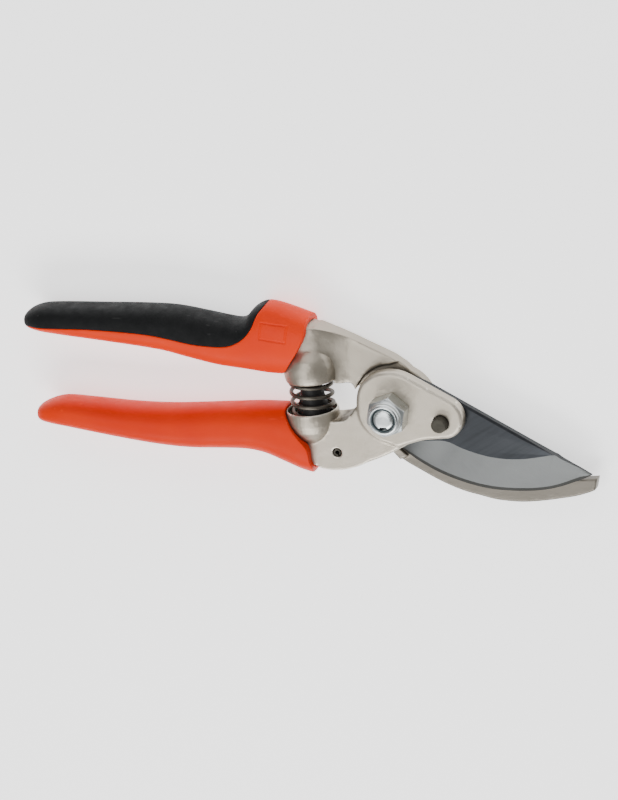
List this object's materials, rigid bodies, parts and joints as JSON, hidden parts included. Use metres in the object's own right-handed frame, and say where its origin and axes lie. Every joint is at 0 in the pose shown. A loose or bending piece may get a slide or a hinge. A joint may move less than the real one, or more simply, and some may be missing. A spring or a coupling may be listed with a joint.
{
  "type": "pruning shears",
  "caption": "Bypass pruning shears with a curved blade, hooked counter-blade, coil spring between sleeved handles and a bolted pivot.",
  "frame": {"origin": "on the pivot axis, at the flat underside of the pivot bolt's head", "axes": "+X towards the blade's tip, +Y towards the upper handle, +Z along the pivot axis from the bolt's head to its nut"},
  "size_m": [0.2044, 0.0755, 0.0253],
  "materials": {
    "lever_steel": "satin nickel plate on a forged surface",
    "blade_steel": "dark flat with a brighter ground bevel",
    "rivet_steel": "dark, dull",
    "zinc_steel": "bright zinc plate",
    "nylon": "dark nylon ring",
    "spring_steel": "dark oiled wire",
    "black_rubber": "matt",
    "orange_sleeve": "smooth satin dipped vinyl",
    "orange_shell": "satin moulded plastic",
    "black_pad": "matt soft-touch"
  },
  "bodies": {
    "blade_side": {"blade_lever": "lever_steel", "blade": "blade_steel", "blade_rivet": "rivet_steel", "pivot_bolt": "zinc_steel", "head_washer": "zinc_steel", "pivot_nut": "zinc_steel", "nut_insert": "nylon", "roll_pin": "rivet_steel", "rubber_buffer": "black_rubber", "main_spring": "spring_steel", "lower_grip": "orange_sleeve"},
    "hook_side": {"hook_lever": "lever_steel", "upper_grip_shell": "orange_shell", "upper_grip_pad": "black_pad"},
    "catch": {"lock_catch": "lever_steel"}
  },
  "joints": [
    {"name": "handles_open", "type": "hinge", "parent": "blade_side", "child": "hook_side", "pos_m": [0, 0, 0.00625], "axis": [0, 0, -1], "range_deg": [0, 28], "stiffness_Nm_per_rad": 2.4, "springref_deg": 34.38, "deforming": ["main_spring"]},
    {"name": "catch_turn", "type": "hinge", "parent": "blade_side", "child": "catch", "pos_m": [-0.0215, -0.0154, 0.00155], "axis": [0, 0, -1], "range_deg": [0, 14]}
  ]
}
